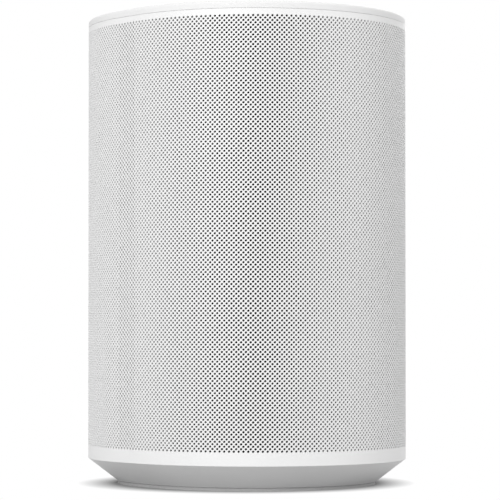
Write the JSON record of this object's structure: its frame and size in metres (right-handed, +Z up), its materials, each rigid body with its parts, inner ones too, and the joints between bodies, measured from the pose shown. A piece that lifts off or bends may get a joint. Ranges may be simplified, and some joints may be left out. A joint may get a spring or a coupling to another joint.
{
  "type": "smart speaker",
  "caption": "Free-standing mains smart speaker with an obround perforated sleeve, smooth top cap and tapered base, holding a woofer and angled tweeters.",
  "frame": {"origin": "middle of the foot's underside, on the surface that the speaker stands on", "axes": "+Z up, front towards -Y, +X to the right when seen from the front"},
  "size_m": [0.1194, 0.1298, 0.1836],
  "materials": {
    "sleeve_plastic": "fine moulded texture, white",
    "cap_plastic": "satin moulded, white",
    "base_plastic": "satin moulded, pale grey-white",
    "foot_rubber": "matt grey",
    "box_plastic": "matt moulded, black",
    "gasket_foam": "closed-cell foam",
    "steel": "zinc plated",
    "black_steel": "black coated",
    "ferrite": "sintered, matt",
    "felt": "felt",
    "cloth_black": "woven, black",
    "cone_paper": "pressed pulp, black",
    "coil_aluminium": "wound wire on foil former",
    "surround_rubber": "matt black",
    "spider_cloth": "resin-treated cloth",
    "dome_silk": "coated cloth",
    "inlet_plastic": "moulded, grey",
    "contact_brass": "nickel plated",
    "button_plastic": "satin moulded, white",
    "board_epoxy": "solder mask",
    "switch_plastic": "moulded, black",
    "sink_aluminium": "extruded",
    "capacitor_sleeve": "shrink sleeve",
    "light_plastic": "clear, polished",
    "ribbon_film": "polyester film"
  },
  "bodies": {
    "cabinet": {"grille_sleeve": "sleeve_plastic", "acoustic_cloth": "cloth_black", "rear_panel": "sleeve_plastic", "top_cap": "cap_plastic", "base_skirt": "base_plastic", "base_screws": "steel", "foot_ring": "foot_rubber", "front_baffle": "box_plastic", "rear_enclosure": "box_plastic", "box_gasket": "gasket_foam", "box_screws": "steel", "damping_pad": "felt", "woofer_basket": "black_steel", "woofer_gasket": "gasket_foam", "woofer_screws": "black_steel", "woofer_top_plate": "steel", "woofer_magnet": "ferrite", "woofer_yoke": "steel", "woofer_surround": "surround_rubber", "woofer_spider": "spider_cloth", "tweeter_screws": "black_steel", "mains_inlet": "inlet_plastic", "inlet_pins": "contact_brass", "port_board": "board_epoxy", "port_board_screws": "steel", "usb_port": "steel", "slide_switch": "switch_plastic", "tact_switch": "switch_plastic", "main_board": "board_epoxy", "power_board": "board_epoxy", "board_screws": "steel", "amplifier_heatsink": "sink_aluminium", "processor_shield": "steel", "power_transformer": "ferrite", "bulk_capacitors": "capacitor_sleeve", "radio_antennas": "board_epoxy", "touch_board": "board_epoxy", "microphones": "steel", "light_pipe": "light_plastic", "ribbon_plugs": "switch_plastic", "touch_ribbon": "ribbon_film", "tweeter_left_waveguide": "box_plastic", "tweeter_left_surround": "surround_rubber", "tweeter_left_cup": "steel", "tweeter_left_magnet": "ferrite", "tweeter_left_pole_plate": "steel", "tweeter_right_waveguide": "box_plastic", "tweeter_right_surround": "surround_rubber", "tweeter_right_cup": "steel", "tweeter_right_magnet": "ferrite", "tweeter_right_pole_plate": "steel"},
    "woofer_cone_assembly": {"woofer_cone": "cone_paper", "woofer_dust_cap": "cone_paper", "woofer_voice_coil": "coil_aluminium"},
    "tweeter_left_diaphragm": {"tweeter_left_dome": "dome_silk"},
    "tweeter_right_diaphragm": {"tweeter_right_dome": "dome_silk"},
    "pairing_button": {"pairing_button": "button_plastic"},
    "mic_switch": {"mic_switch_knob": "button_plastic"}
  },
  "joints": [
    {"name": "woofer_stroke", "type": "slide", "parent": "cabinet", "child": "woofer_cone_assembly", "axis": [0, -1, 0], "range_m": [-0.004, 0.004], "stiffness_N_per_m": 1200, "deforming": ["woofer_surround", "woofer_spider"]},
    {"name": "pairing_button_press", "type": "slide", "parent": "cabinet", "child": "pairing_button", "axis": [0, -1, 0], "range_m": [0, 0.0006], "stiffness_N_per_m": 800},
    {"name": "mic_switch_slide", "type": "slide", "parent": "cabinet", "child": "mic_switch", "axis": [0, 0, -1], "range_m": [0, 0.0025]},
    {"name": "tweeter_left_stroke", "type": "slide", "parent": "cabinet", "child": "tweeter_left_diaphragm", "axis": [-0.766, -0.6428, 0], "range_m": [-0.0003, 0.0003], "stiffness_N_per_m": 600, "deforming": ["tweeter_left_surround"]},
    {"name": "tweeter_right_stroke", "type": "slide", "parent": "cabinet", "child": "tweeter_right_diaphragm", "axis": [0.766, -0.6428, 0], "range_m": [-0.0003, 0.0003], "stiffness_N_per_m": 600, "deforming": ["tweeter_right_surround"]}
  ]
}
